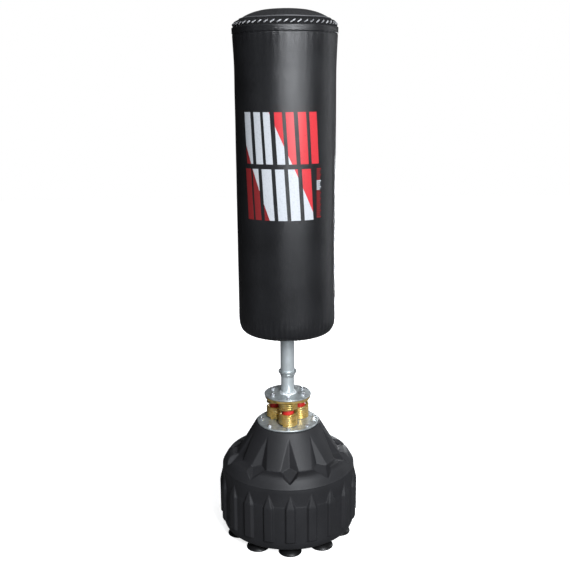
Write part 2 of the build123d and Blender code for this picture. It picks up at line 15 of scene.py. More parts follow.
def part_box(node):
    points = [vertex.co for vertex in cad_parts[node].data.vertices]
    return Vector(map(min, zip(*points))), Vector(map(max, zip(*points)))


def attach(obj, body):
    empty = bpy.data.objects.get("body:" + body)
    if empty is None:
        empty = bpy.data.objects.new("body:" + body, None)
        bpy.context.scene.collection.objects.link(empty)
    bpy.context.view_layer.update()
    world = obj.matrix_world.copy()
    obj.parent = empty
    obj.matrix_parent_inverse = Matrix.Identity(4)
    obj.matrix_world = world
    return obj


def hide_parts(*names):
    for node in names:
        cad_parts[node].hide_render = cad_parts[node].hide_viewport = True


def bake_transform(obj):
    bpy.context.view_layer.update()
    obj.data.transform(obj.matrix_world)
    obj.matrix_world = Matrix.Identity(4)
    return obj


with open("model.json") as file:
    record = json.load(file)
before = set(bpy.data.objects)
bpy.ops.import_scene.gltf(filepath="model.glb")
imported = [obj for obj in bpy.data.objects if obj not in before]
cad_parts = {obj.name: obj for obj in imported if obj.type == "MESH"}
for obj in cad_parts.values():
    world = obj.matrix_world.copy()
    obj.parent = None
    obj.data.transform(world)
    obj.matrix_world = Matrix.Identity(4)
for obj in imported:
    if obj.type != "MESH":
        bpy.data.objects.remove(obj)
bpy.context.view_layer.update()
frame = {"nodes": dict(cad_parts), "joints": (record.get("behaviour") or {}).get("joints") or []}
NODES = frame["nodes"]
TURN = 2 * math.pi
FRONT = -math.pi / 2
rng = random.Random(7)


def low(node):
    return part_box(node)[0]


def high(node):
    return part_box(node)[1]


# Mesh helpers
def mesh_piece(name, vertices, faces, material, crease=40):
    """A smooth-shaded mesh object, with its coincident points joined and its faces turned outwards."""
    mesh = bpy.data.meshes.new(name)
    mesh.from_pydata(np.asarray(vertices, float).tolist(), [], faces)
    shape = bmesh.new()
    shape.from_mesh(mesh)
    bmesh.ops.remove_doubles(shape, verts=shape.verts, dist=1e-6)
    bmesh.ops.recalc_face_normals(shape, faces=shape.faces)
    shape.to_mesh(mesh)
    shape.free()
    mesh.materials.append(material)
    mesh.shade_smooth()
    mesh.set_sharp_from_angle(angle=math.radians(crease))
    piece = bpy.data.objects.new(name, mesh)
    bpy.context.scene.collection.objects.link(piece)
    return piece


def place(piece, body, slot, *nodes):
    """Puts a piece on its body and hides the CAD nodes that it stands for. Its slot is not used."""
    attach(piece, body)
    if nodes:
        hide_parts(*nodes)
    return piece


def grid_faces(rows, columns, closed_rows=False):
    """The quads of a grid whose columns run right round. closed_rows joins the last row to the first."""
    faces = []
    for i in range(rows if closed_rows else rows - 1):
        here = i * columns
        there = (i + 1) % rows * columns
        for j in range(columns):
            k = (j + 1) % columns
            faces.append((here + j, here + k, there + k, there + j))
    return faces


def round_angles(count):
    return np.linspace(0, TURN, count, endpoint=False)


def round_points(radius, angle, height):
    """Points from their distance off the Z axis, angle and height."""
    return np.stack([radius * np.cos(angle), radius * np.sin(angle), height], axis=-1)


def ring_grid(radii, heights, angles):
    """Points of a round grid: radii and heights may be a value for each row or a whole array."""
    shape = (len(heights), len(angles))
    radii = np.broadcast_to(np.asarray(radii).reshape(len(heights), -1), shape)
    heights = np.broadcast_to(np.asarray(heights).reshape(len(heights), -1), shape)
    return round_points(radii, angles, heights)


def rounded(corners, reach, steps=4):
    """A closed outline of (radius, height) corners, each rounded off except those on the axis."""
    corners = [Vector(c) for c in corners]
    path = []
    for i, corner in enumerate(corners):
        if corner.x == 0:
            path.append(corner)
            continue
        before = corners[i - 1] - corner
        after = corners[(i + 1) % len(corners)] - corner
        cut = min(reach, 0.45 * before.length, 0.45 * after.length)
        a = corner + before.normalized() * cut
        b = corner + after.normalized() * cut
        for k in range(steps + 1):
            t = k / steps
            path.append(a * (1 - t) ** 2 + corner * (2 * t * (1 - t)) + b * t * t)
    return path


def eased(path, passes, share=0.25):
    """A path of points whose corners are cut off, by a share of each side at every pass."""
    path = np.array(path)
    for _ in range(passes):
        cut = np.repeat(path, 2, axis=0)[1:-1]
        cut[0::2] = (1 - share) * path[:-1] + share * path[1:]
        cut[1::2] = share * path[:-1] + (1 - share) * path[1:]
        path = np.vstack([path[:1], cut, path[-1:]])
    return path


def turned(name, corners, material, reach=0.0008, segments=128, centre=(0, 0)):
    """A closed turned piece from the corners of its half section."""
    outline = np.array(rounded(corners, reach))
    angles = round_angles(segments)
    points = ring_grid(outline[:, 0], outline[:, 1], angles).reshape(-1, 3)
    points[:, :2] += centre
    return mesh_piece(name, points, grid_faces(len(outline), segments, True), material)


def pipe(name, bore, radius, bottom, top, material, reach, segments=128, centre=(0, 0)):
    corners = [(bore, bottom), (radius, bottom), (radius, top), (bore, top)]
    return turned(name, corners, material, reach, segments, centre)


def closed_skin(name, outside, inside, material):
    """A closed piece between two round grids of points, row for row."""
    rows, columns, _ = outside.shape
    points = np.concatenate([outside, inside[::-1]]).reshape(-1, 3)
    return mesh_piece(name, points, grid_faces(2 * rows, columns, True), material, 60)


def gather(parts):
    """One list of points and faces from several."""
    points = []
    faces = []
    for more_points, more_faces in parts:
        start = len(points)
        points.extend(more_points)
        faces.extend(tuple(start + k for k in face) for face in more_faces)
    return points, faces


def swept(path, radius, sides=8):
    """A closed round tube along a path, whose radius may change from point to point."""
    path = np.asarray(path, float)
    radius = np.broadcast_to(radius, len(path))
    along = np.gradient(path, axis=0)
    along /= np.linalg.norm(along, axis=1)[:, None]
    side = np.cross(along[0], (0, 0, 1))
    if np.linalg.norm(side) < 1e-3:
        side = np.cross(along[0], (1, 0, 0))
    points = []
    for p, t, r in zip(path, along, radius):
        side = side - t * (side @ t)
        side /= np.linalg.norm(side)
        other = np.cross(t, side)
        for a in round_angles(sides):
            points.append(p + r * (side * math.cos(a) + other * math.sin(a)))
    faces = grid_faces(len(path), sides)
    last = (len(path) - 1) * sides
    faces.append(tuple(range(sides))[::-1])
    faces.append(tuple(last + k for k in range(sides)))
    return points, faces


def smooth_max(a, b, width):
    h = np.clip(0.5 + 0.5 * (a - b) / width, 0, 1)
    return b * (1 - h) + a * h + width * h * (1 - h)


def smooth_min(a, b, width):
    return -smooth_max(-np.asarray(a), -np.asarray(b), width)


def smoothstep(x):
    x = np.clip(x, 0, 1)
    return x * x * (3 - 2 * x)


def wrapped(angle):
    """An angle brought to between minus and plus half a turn."""
    return (angle + math.pi) % TURN - math.pi


def waves(count, seed):
    """Random ripples: (turns round, cycles per metre up, phase, strength) for each."""
    pick = random.Random(seed)
    made = []
    for _ in range(count):
        made.append((pick.randint(2, 9), pick.uniform(1, 9), pick.uniform(0, 6.3), pick.uniform(0.4, 1)))
    return made


def rippled(angle, height, ripples):
    """The ripples added up, from about -1 to 1."""
    total = sum(w * np.sin(n * angle + TURN * f * height + p) for n, f, p, w in ripples)
    return total / sum(w for *_, w in ripples)


# Material helpers
def add(tree, kind, inputs=None, **settings):
    """A new node. Each input is a value or another node's output."""
    made = tree.nodes.new(kind)
    for key, value in settings.items():
        setattr(made, key, value)
    for key, value in (inputs or {}).items():
        if isinstance(value, bpy.types.NodeSocket):
            tree.links.new(value, made.inputs[key])
        else:
            made.inputs[key].default_value = value
    return made


def place_in(tree, stretch=(1, 1, 1)):
    """The object's own coordinates, in metres, stretched along the axes."""
    coordinates = add(tree, "ShaderNodeTexCoord").outputs["Object"]
    return add(tree, "ShaderNodeMapping", {"Vector": coordinates, "Scale": stretch}).outputs[0]


def finish(name, colour, roughness, **sockets):
    """A Principled material with the values that are the same all over it, and its coordinates."""
    material = bpy.data.materials.new(name)
    material.use_nodes = True
    tree = material.node_tree
    shader = tree.nodes["Principled BSDF"]
    shader.inputs["Base Color"].default_value = (*colour, 1)
    shader.inputs["Roughness"].default_value = roughness
    for socket, value in sockets.items():
        shader.inputs[socket.replace("_", " ")].default_value = value
    return material, tree, place_in(tree)


def noise(tree, vector, scale, detail=3.0, roughness=0.55):
    inputs = {"Vector": vector, "Scale": scale, "Detail": detail, "Roughness": roughness}
    return add(tree, "ShaderNodeTexNoise", inputs).outputs["Fac"]


def spread(tree, value, start, end, low_value=0.0, high_value=1.0):
    """A value brought from between low_value and high_value to between start and end."""
    inputs = {"Value": value, "From Min": low_value, "From Max": high_value, "To Min": start, "To Max": end}
    return add(tree, "ShaderNodeMapRange", inputs).outputs["Result"]


def shades(tree, value, *stops):
    """A colour from a value: stops are (place, colour)."""
    ramp = add(tree, "ShaderNodeValToRGB", {"Fac": value})
    while len(ramp.color_ramp.elements) < len(stops):
        ramp.color_ramp.elements.new(0.5)
    for element, (spot, colour) in zip(ramp.color_ramp.elements, stops):
        element.position = spot
        element.color = (*colour, 1)
    return ramp.outputs["Color"]


def maths(tree, operation, a, b):
    return add(tree, "ShaderNodeMath", {0: a, 1: b}, operation=operation).outputs[0]


def plus(tree, a, b):
    return maths(tree, "ADD", a, b)


def times(tree, a, b):
    return maths(tree, "MULTIPLY", a, b)


def cells_in(tree, vector, scale, feature="F1"):
    """The distance inside the cells of a Voronoi texture, of which scale go to the metre."""
    inputs = {"Vector": vector, "Scale": scale}
    return add(tree, "ShaderNodeTexVoronoi", inputs, feature=feature).outputs["Distance"]


def skinned(material, height, strength, depth, **outputs):
    """The material with relief of a height, and with its named sockets driven by outputs."""
    tree = material.node_tree
    inputs = {"Height": height, "Strength": strength, "Distance": depth}
    outputs["Normal"] = add(tree, "ShaderNodeBump", inputs).outputs["Normal"]
    for socket, output in outputs.items():
        tree.links.new(output, tree.nodes["Principled BSDF"].inputs[socket.replace("_", " ")])
    return material


# Materials
def tank_plastic():
    """Rotation-moulded polyethylene: a fine pebbled skin, a little uneven in gloss."""
    material, tree, here = finish("tank_plastic", (0.016, 0.016, 0.018), 0.5, Specular_IOR_Level=0.4)
    pebbles = noise(tree, here, 950, 3)
    clouds = noise(tree, here, 9, 3)
    dust = noise(tree, here, 55, 5, 0.7)
    colour = shades(tree, clouds, (0.3, (0.013, 0.013, 0.0145)), (0.7, (0.0185, 0.0185, 0.0205)))
    rough = plus(tree, spread(tree, clouds, 0.52, 0.62), spread(tree, dust, -0.04, 0.05))
    return skinned(material, pebbles, 0.28, 0.00035, Base_Color=colour, Roughness=rough)


def cup_rubber():
    """Glossy black rubber with faint mould marks."""
    material, tree, here = finish("cup_rubber", (0.006, 0.006, 0.0065), 0.36)
    marks = noise(tree, here, 140, 4, 0.6)
    return skinned(material, marks, 0.12, 0.0004, Roughness=spread(tree, marks, 0.3, 0.46))


def turned_steel(name, colour, roughness, grain=0.1, metallic=0.6, mottle=0.26):
    """Plated metal with the fine rings that turning leaves round the axis."""
    material, tree, here = finish(name, colour, roughness, Metallic=metallic)
    x, y, z = add(tree, "ShaderNodeSeparateXYZ", {0: here}).outputs
    off_axis = maths(tree, "SQRT", plus(tree, times(tree, x, x), times(tree, y, y)), 0.0)
    across = add(tree, "ShaderNodeCombineXYZ", {"X": off_axis, "Y": 0.0, "Z": z})
    rings = noise(tree, across.outputs[0], 2600, 2)
    spangle = noise(tree, here, 60, 4, 0.6)
    dull = tuple((1 - mottle) * c for c in colour)
    clean = tuple(min(1, c * gain) for c, gain in zip(colour, (1.1, 1.1, 1.14)))
    tint = shades(tree, spangle, (0.3, dull), (0.55, colour), (0.8, clean))
    worn = spread(tree, spangle, roughness - 0.07, roughness + 0.08)
    rough = plus(tree, worn, spread(tree, rings, -0.05, 0.05))
    return skinned(material, rings, grain, 0.0002, Base_Color=tint, Roughness=rough)


def gold_spring():
    """Yellow-passivated spring steel, whose colour drifts from gold to pink and olive."""
    material, tree, here = finish("gold_spring", (0.6, 0.4, 0.12), 0.34, Metallic=0.7)
    drift = noise(tree, here, 42, 3, 0.6)
    scale = noise(tree, place_in(tree, (1, 1, 6)), 260, 3)
    colour = shades(
        tree, drift, (0.32, (0.34, 0.28, 0.1)), (0.46, (0.66, 0.44, 0.12)),
        (0.58, (0.74, 0.53, 0.19)), (0.72, (0.5, 0.42, 0.19)),
    )
    gloss = spread(tree, scale, 0.22, 0.42)
    return skinned(material, scale, 0.15, 0.0003, Base_Color=colour, Roughness=gloss)


def red_urethane():
    """Cast urethane: satin red, faintly clouded, with tiny casting pits."""
    material, tree, here = finish(
        "red_urethane", (0.58, 0.028, 0.024), 0.34, Subsurface_Weight=0.08, Subsurface_Scale=0.004
    )
    clouds = noise(tree, here, 70, 3)
    colour = shades(tree, clouds, (0.3, (0.48, 0.02, 0.018)), (0.7, (0.68, 0.036, 0.03)))
    pits = noise(tree, here, 900, 2)
    gloss = spread(tree, clouds, 0.28, 0.42)
    return skinned(material, pits, 0.15, 0.0002, Base_Color=colour, Roughness=gloss)


GRAIN_CELLS = 720.0


def leather(name, dark, light, roughness, grain=0.34, creases=0.5):
    """Coated leather: cells of grain a millimetre or so across, pores, and long soft creases."""
    material, tree, here = finish(name, light, roughness)
    stray = add(tree, "ShaderNodeTexNoise", {"Vector": here, "Scale": 420.0}).outputs["Color"]
    bent = add(tree, "ShaderNodeMixRGB", {"Fac": 0.0012, "Color1": here, "Color2": stray}).outputs[0]
    cells = cells_in(tree, bent, GRAIN_CELLS, "DISTANCE_TO_EDGE")
    valleys = spread(tree, cells, 0.0, 1.0, 0.0, 0.16)
    pores = noise(tree, here, 1700, 2)
    folds = noise(tree, place_in(tree, (1, 1, 0.35)), 34, 5, 0.6)
    relief = plus(tree, plus(tree, valleys, times(tree, pores, 0.35)), times(tree, folds, creases))
    clouds = noise(tree, here, 12, 4)
    colour = shades(tree, clouds, (0.3, dark), (0.7, light))
    worn = spread(tree, clouds, roughness - 0.04, roughness + 0.04)
    rough = plus(tree, worn, spread(tree, valleys, 0.07, -0.02))
    return skinned(material, relief, grain, 0.00035, Base_Color=colour, Roughness=rough)


def woven(name, dark, light, threads=1500.0, strength=0.5, patches=700):
    """A plain weave of threads round and up the piece."""
    material, tree, here = finish(name, light, 0.85, Specular_IOR_Level=0.15)
    x, y, z = add(tree, "ShaderNodeSeparateXYZ", {0: here}).outputs
    usual_radius = 0.16
    warp = maths(tree, "SINE", times(tree, maths(tree, "ARCTAN2", y, x), threads * usual_radius), 0.0)
    weft = maths(tree, "SINE", times(tree, z, threads), 0.0)
    weave = times(tree, warp, weft)
    fuzz = noise(tree, here, patches, 4, 0.7)
    colour = shades(tree, plus(tree, times(tree, weave, 0.15), fuzz), (0.3, dark), (0.7, light))
    relief = plus(tree, weave, times(tree, fuzz, 1.5))
    return skinned(material, relief, strength, 0.0004, Base_Color=colour)


def lace_thread():
    """Pale waxed cotton, its fibres running along each ply, grubby in places."""
    material, tree, here = finish("lace_thread", (0.3, 0.3, 0.31), 0.72, Sheen_Weight=0.3)
    fibres = noise(tree, here, 1500, 5, 0.75)
    dirt = noise(tree, here, 75, 4, 0.6)
    colour = shades(
        tree, dirt, (0.36, (0.11, 0.11, 0.115)), (0.5, (0.28, 0.28, 0.29)), (0.66, (0.46, 0.46, 0.47))
    )
    return skinned(material, fibres, 0.6, 0.0004, Base_Color=colour)


def ink(name, colour):
    """Screen ink on the leather: even, slightly glossy, thinner over the grain."""
    material, tree, here = finish(name, colour, 0.42)
    wear = noise(tree, here, 240, 6, 0.7)
    grain = cells_in(tree, here, GRAIN_CELLS, "DISTANCE_TO_EDGE")
    dull = tuple(0.72 * c for c in colour)
    shade = shades(tree, wear, (0.3, dull), (0.48, colour))
    gloss = spread(tree, wear, 0.36, 0.5)
    return skinned(material, grain, 0.22, 0.0003, Base_Color=shade, Roughness=gloss)


def nylon():
    material, tree, here = finish(
        "nylon", (0.78, 0.77, 0.71), 0.38, Subsurface_Weight=0.1, Subsurface_Scale=0.004
    )
    gloss = spread(tree, noise(tree, here, 90, 4), 0.3, 0.48)
    return skinned(material, noise(tree, here, 800, 2), 0.1, 0.0002, Roughness=gloss)


def foam():
    """Open-cell foam: round cells two or three millimetres across, with painted shade darkening their
    hollows.
    """
    material, tree, here = finish("foam", (0.55, 0.55, 0.54), 0.92)
    cells = cells_in(tree, here, 420.0)
    # Painted shade: the colour is darker where the cells' relief is lowest, in their hollows.
    colour = shades(tree, cells, (0.1, (0.36, 0.36, 0.35)), (0.6, (0.62, 0.62, 0.6)))
    return skinned(material, cells, 0.8, 0.001, Base_Color=colour)


def board():
    """Grey-brown fibreboard with long flecks."""
    material, tree, _ = finish("board", (0.42, 0.3, 0.19), 0.78)
    flecks = noise(tree, place_in(tree, (1, 6, 1)), 160, 5, 0.7)
    colour = shades(tree, flecks, (0.35, (0.28, 0.19, 0.12)), (0.65, (0.5, 0.37, 0.25)))
    return skinned(material, flecks, 0.4, 0.0004, Base_Color=colour)


TANK = tank_plastic()
RUBBER = cup_rubber()
ZINC = turned_steel("zinc_steel", (0.56, 0.605, 0.61), 0.36, 0.12, 0.68, 0.34)
TUBE = turned_steel("tube_steel", (0.78, 0.84, 0.85), 0.36, 0.05, 0.66, 0.05)
BRIGHT = turned_steel("fastener_steel", (0.66, 0.67, 0.69), 0.27, 0.06, 0.8)
WELD = turned_steel("weld_steel", (0.76, 0.81, 0.82), 0.42, 0.12, 0.6, 0.08)
BRASS = turned_steel("insert_brass", (0.7, 0.52, 0.24), 0.3, 0.1, 1.0)
GOLD = gold_spring()
RED = red_urethane()
NYLON = nylon()
FOAM = foam()
FELT = woven("felt", (0.24, 0.24, 0.26), (0.42, 0.42, 0.44), 500.0)
BOARD = board()
LEATHER = leather("bag_leather", (0.007, 0.0071, 0.008), (0.0108, 0.011, 0.0123), 0.32)
CROWN_LEATHER = leather("crown_leather", (0.014, 0.014, 0.015), (0.022, 0.022, 0.023), 0.55, 0.45, 0.9)
BAND = woven("band_cloth", (0.0015, 0.0015, 0.0016), (0.017, 0.017, 0.018), 900.0, 1.0, 240)
TRIM = leather("rim_trim", (0.06, 0.06, 0.063), (0.11, 0.11, 0.115), 0.5)
THREAD = lace_thread()
SEAM_THREAD = woven("seam_thread", (0.008, 0.008, 0.009), (0.016, 0.016, 0.017), 3000.0)
WHITE_INK = ink("white_ink", (0.47, 0.49, 0.52))
RED_INK = ink("red_ink", (0.5, 0.028, 0.036))
DARK_INK = ink("dark_red_ink", (0.21, 0.014, 0.016))

# The CAD nodes that no drawn piece replaces
for names, material in (
    (("fill_cap",), TANK),
    (("cap_gasket",), RUBBER),
    (("spigot",), ZINC),
    (("spring_plate",), GOLD),
    (("cup_studs", "lower_seat_screws", "upper_seat_screws"), BRIGHT),
    (("lower_seat_1", "lower_seat_2", "lower_seat_3"), BRIGHT),
    (("upper_seat_1", "upper_seat_2", "upper_seat_3"), GOLD),
    (("cup_inserts", "flange_inserts"), BRASS),
    (("thrust_cap", "inner_sleeve", "sleeve_plate"), NYLON),
    (("foam_core", "foam_wrap", "top_pad"), FOAM),
    (("textile_wrap",), FELT),
    (("bottom_board",), BOARD),
):
    for name in names:
        NODES[name].data.materials.clear()
        NODES[name].data.materials.append(material)

# Ballast tank
TANK_COLUMNS = 720
TANK_FLOOR = low("base_shell").z
DECK = low("base_flange").z
TANK_EDGE = [
    (0.206, TANK_FLOOR), (0.22, 0.0258), (0.228, 0.033), (0.2315, 0.048), (0.232, 0.06),
    (0.232, 0.1835), (0.2304, 0.1862), (0.2304, 0.233), (0.23, 0.24), (0.2293, 0.2452),
    (0.23, 0.2462), (0.23, 0.2474), (0.2287, 0.2482), (0.2232, 0.2591), (0.2185, 0.2675),
    (0.214, 0.2745), (0.206, 0.2815), (0.196, 0.2843), (0.186, 0.285), (0.1785, 0.2855),
    (0.174, 0.2898), (0.146, 0.3375), (0.1165, 0.3876), (0.1138, 0.3925), (0.1115, DECK),
]
SHOULDER_FOOT = 0.228
RIBS = 20
RIB_HALF = 0.019
RIB_FOOT, RIB_EAVES, RIB_PEAK = 0.056, 0.183, 0.231
RIB_ROOT = 0.2295
RIB_RISE = 0.0112
RIB_SLOPE = 1.7
KITES = 10
KITE_CENTRE = (0.175, 0.3)
KITE_LEAN = math.radians(50)
NECK = Vector((0, 0.165))
NECK_FACE = low("cap_gasket").z
NECK_BORE, NECK_OUTSIDE, NECK_POCKET = 0.0245, 0.0335, 0.0372


def tank_rows():
    """The tank's outline as (radius, height) rows with eased corners, closest on the shoulder."""
    edge = eased(TANK_EDGE, 2, 0.2)
    length = np.r_[0, np.cumsum(np.hypot(*np.diff(edge, axis=0).T))]
    shoulder = float(np.interp(SHOULDER_FOOT, edge[:, 1], length))
    at = np.r_[np.linspace(0, shoulder, 120, endpoint=False), np.linspace(shoulder, length[-1], 190)]
    return np.interp(at, length, edge[:, 0]), np.interp(at, length, edge[:, 1])


def plane_through(*points):
    """(constant, across, up) of the plane depth = constant + across * u + up * v through three points."""
    u, v, w = np.array(points).T
    return np.linalg.solve(np.stack([np.ones(3), u, v], axis=1), w)


KITE_FACETS = [
    plane_through((0, 0.0908, 0.0257), (0, 0.0128, -0.0166), (0.041, -0.0127, -0.0089)),
    plane_through((0, 0.0128, -0.02), (0.02, 0.0128, -0.02), (0, -0.0394, -0.008)),
    plane_through((0.041, -0.0127, 0.004), (0, -0.0632, 0.004), (0.0085, -0.031, -0.015)),
]


def cut_kites(points):
    """Presses the kite-shaped pockets into the tank's shoulder: a groove, a floor and end walls."""
    for k in range(KITES):
        angle = FRONT + k * TURN / KITES
        at_the_neck = abs(wrapped(angle + FRONT)) < 0.01
        if at_the_neck:
            continue
        out = np.array([math.cos(angle), math.sin(angle), 0])
        up = np.array([0, 0, 1.0])
        normal = out * math.cos(KITE_LEAN) + up * math.sin(KITE_LEAN)
        rise = up * math.cos(KITE_LEAN) - out * math.sin(KITE_LEAN)
        offset = points - (out * KITE_CENTRE[0] + up * KITE_CENTRE[1])
        u = np.abs(offset @ np.cross(up, out))
        v = offset @ rise
        w = offset @ normal
        near = (u < 0.055) & (np.abs(v) < 0.11) & (w > -0.05)
        u, v, w = np.sqrt(u[near] ** 2 + 0.0006**2), v[near], w[near]
        floor = None
        for constant, across, upwards in KITE_FACETS:
            facet = constant + across * u + upwards * v
            floor = facet if floor is None else smooth_max(floor, facet, 0.001)
        points[near] += (smooth_min(w, floor, 0.0014) - w)[:, None] * normal


def raise_ribs(points):
    """Raises the house-shaped ribs out of the tank's side wall."""
    angle = np.arctan2(points[:, 1], points[:, 0])
    radius = np.hypot(points[:, 0], points[:, 1])
    step = TURN / RIBS
    off = (angle - FRONT + step / 2) % step - step / 2
    side = np.abs(off) * RIB_ROOT
    roof_run = math.hypot(RIB_HALF, RIB_PEAK - RIB_EAVES)
    from_roof = ((RIB_PEAK - points[:, 2]) * RIB_HALF - side * (RIB_PEAK - RIB_EAVES)) / roof_run
    inside = smooth_min(RIB_HALF - side, points[:, 2] - RIB_FOOT, 0.0015)
    inside = smooth_min(inside, from_roof, 0.001)
    height = smooth_min(RIB_SLOPE * inside, RIB_RISE, 0.0016)
    leaning = (RIB_PEAK - points[:, 2]) * RIB_RISE / (RIB_PEAK - RIB_EAVES)
    height = smooth_min(height, leaning, 0.001)
    raised = smooth_max(radius, RIB_ROOT + height, 0.002)
    wall = (points[:, 2] > RIB_FOOT - 0.01) & (points[:, 2] < RIB_PEAK + 0.01)
    scale = np.where(wall, raised / np.maximum(radius, 1e-6), 1)
    points[:, :2] *= scale[:, None]


def ballast_tank():
    radii, heights = tank_rows()
    rows = len(radii)
    angles = round_angles(TANK_COLUMNS)
    points = ring_grid(radii, heights, angles).reshape(-1, 3)
    raise_ribs(points)
    cut_kites(points)
    from_neck = np.hypot(points[:, 0] - NECK.x, points[:, 1] - NECK.y)
    pressed = smoothstep((NECK_POCKET - from_neck) / (NECK_POCKET - NECK_OUTSIDE))
    pressed *= points[:, 2] > 0.2
    points[:, 2] += pressed * (NECK_FACE - 0.0004 - points[:, 2])
    in_bore = (from_neck < NECK_BORE + 0.003) & (points[:, 2] > 0.2)
    faces = [f for f in grid_faces(rows, TANK_COLUMNS) if not all(in_bore[k] for k in f)]
    start = len(points)
    middle = [(0, 0, TANK_FLOOR), (0, 0, DECK)]
    last = (rows - 1) * TANK_COLUMNS
    for j in range(TANK_COLUMNS):
        k = (j + 1) % TANK_COLUMNS
        faces.append((j, start, k))
        faces.append((last + j, last + k, start + 1))
    tank = mesh_piece("ballast_tank", np.vstack([points, middle]), faces, TANK, 62)
    return place(tank, "base", "tank_plastic", "base_shell")


ballast_tank()
NECK_BOTTOM = 0.272
neck = pipe("filler_neck", NECK_BORE, NECK_OUTSIDE, NECK_BOTTOM, NECK_FACE, TANK, 0.0012, 96, NECK)
place(neck, "base", "tank_plastic")

# Suction cups
CUPS = 10
CUP_OUTLINE = [
    (0.0345, 0.0), (0.0385, 0.0), (0.039, 0.0012), (0.039, 0.004), (0.0345, 0.0085), (0.027, 0.0135),
    (0.019, 0.0165), (0.015, 0.0185), (0.014, 0.021), (0.014, 0.024), (0.004, 0.024),
    (0.004, 0.014), (0.0, 0.014), (0.0, 0.01), (0.01, 0.0098), (0.022, 0.0065), (0.03, 0.003),
]
for number in range(1, CUPS + 1):
    node = f"suction_cup_{number:02d}"
    spot = (low(node) + high(node)) / 2
    cup = turned(f"cup_{number:02d}", CUP_OUTLINE, RUBBER, 0.003, 72, (spot.x, spot.y))
    place(cup, "base", "cup_rubber", node)


# Plates, post and weld
def plate(name, node, edge):
    """A round plate as wide and thick as its CAD node, with its edges broken."""
    bottom, top, radius = low(node).z, high(node).z, high(node).x
    corners = [
        (0, bottom), (radius - edge, bottom), (radius, bottom + edge),
        (radius, top - edge), (radius - edge, top), (0, top),
    ]
    return turned(name, corners, ZINC, 0.0004, 160)


place(plate("flange_disc", "base_flange", 0.0016), "base", "zinc_steel", "base_flange")
place(plate("top_disc", "post_plate", 0.0016), "post", "zinc_steel", "post_plate")

STUB = high("stub_post")
TUBE_BORE = 0.019
PLATE_TOP = low("stub_post").z
stub = pipe("lower_tube", TUBE_BORE, STUB.x, PLATE_TOP, STUB.z, TUBE, 0.0005)
place(stub, "post", "zinc_steel", "stub_post")

COLLAR = high("stop_collar")
COLLAR_FOOT = low("stop_collar").z
COLLAR_TOP = COLLAR.z - 0.0045
collar = turned(
    "flared_collar",
    [
        (STUB.x, COLLAR_FOOT), (STUB.x + 0.0008, COLLAR_FOOT), (STUB.x + 0.0008, COLLAR_TOP - 0.0185),
        (STUB.x + 0.0024, COLLAR_TOP - 0.0175), (STUB.x + 0.003, COLLAR_TOP - 0.0115),
        (STUB.x + 0.0014, COLLAR_TOP - 0.0095), (COLLAR.x - 0.001, COLLAR_TOP - 0.007),
        (COLLAR.x, COLLAR_TOP - 0.0045), (COLLAR.x, COLLAR_TOP), (STUB.x, COLLAR_TOP),
    ],
    ZINC,
    0.0007,
)
place(collar, "post", "zinc_steel", "stop_collar")

POST = high("upper_post")
tube_piece = pipe("post_tube", TUBE_BORE, POST.x, STUB.z, POST.z, TUBE, 0.0006)
place(tube_piece, "post", "zinc_steel", "upper_post")


def weld_bead():
    """A fillet weld round the post's foot: overlapping ripples, as a welder leaves them."""
    width, ripples, columns, rows = 0.0075, 46, 368, 9
    inside, below = STUB.x - 0.0006, PLATE_TOP - 0.0004
    angles = round_angles(columns)
    points = []
    for i in range(rows):
        t = i / (rows - 1)
        phase = ripples * angles + 1.1 * math.sin(math.pi * t)
        swell = 1 + 0.1 * np.abs(np.sin(phase / 2)) + 0.05 * np.sin(3 * angles + 1)
        bulge = width * (0.24 * math.sin(math.pi * t)) * swell
        hollow = 0.3 * width * t * (1 - t)
        radius = inside + (width + 0.0006) * (1 - t) * swell + 0.7 * bulge - hollow
        height = below + (width + 0.0004) * t * swell + 0.7 * bulge - hollow
        points.append(round_points(radius, angles, height))
    inner = round_points(inside, angles, np.full(columns, below))
    points = np.concatenate([np.concatenate(points), inner])
    return mesh_piece("foot_weld", points, grid_faces(rows + 1, columns, True), WELD, 50)


place(weld_bead(), "post", "zinc_steel", "post_weld")


# Bolts and washers
WASHER_RADIUS, WASHER_THICK = 0.0084, 0.0016
HEAD_RADIUS, HEAD_HEIGHT = 0.0075, 0.0053
FLANGE_BOLTS, FLANGE_BOLT_RING = 8, 0.09
DISC_BOLTS, DISC_BOLT_RING = 6, 0.0595


def hexagon_head(centre, base, reach, height, turn):
    """A hexagon bolt head with the round chamfer that turning gives its top."""
    rings = []
    sides = 72
    for i, (share, ring_height) in enumerate(
        [(1, 0), (1, 0.74), (0.985, 0.84), (0.93, 0.95), (0.86, 1), (0.55, 1), (0.52, 0.93), (0, 0.93)]
    ):
        for k in range(sides):
            a = TURN * k / sides
            flat = math.cos(math.pi / 6) / math.cos((a + math.pi / 6) % (math.pi / 3) - math.pi / 6)
            radius = reach * (min(flat, share) if i < 4 else share * math.cos(math.pi / 6))
            rings.append((centre[0] + radius * math.cos(a + turn), centre[1] + radius * math.sin(a + turn),
                          base + height * ring_height))
    return rings, grid_faces(8, sides) + [tuple(range(sides))[::-1]]


def washer(centre, base, radius, thick):
    outline = rounded([(0.0, base), (radius, base), (radius, base + thick), (0.0, base + thick)], 0.0004, 2)
    angles = round_angles(48)
    points = ring_grid([p[0] for p in outline], [p[1] for p in outline], angles).reshape(-1, 3)
    points[:, :2] += centre
    return points.tolist(), grid_faces(len(outline), 48)


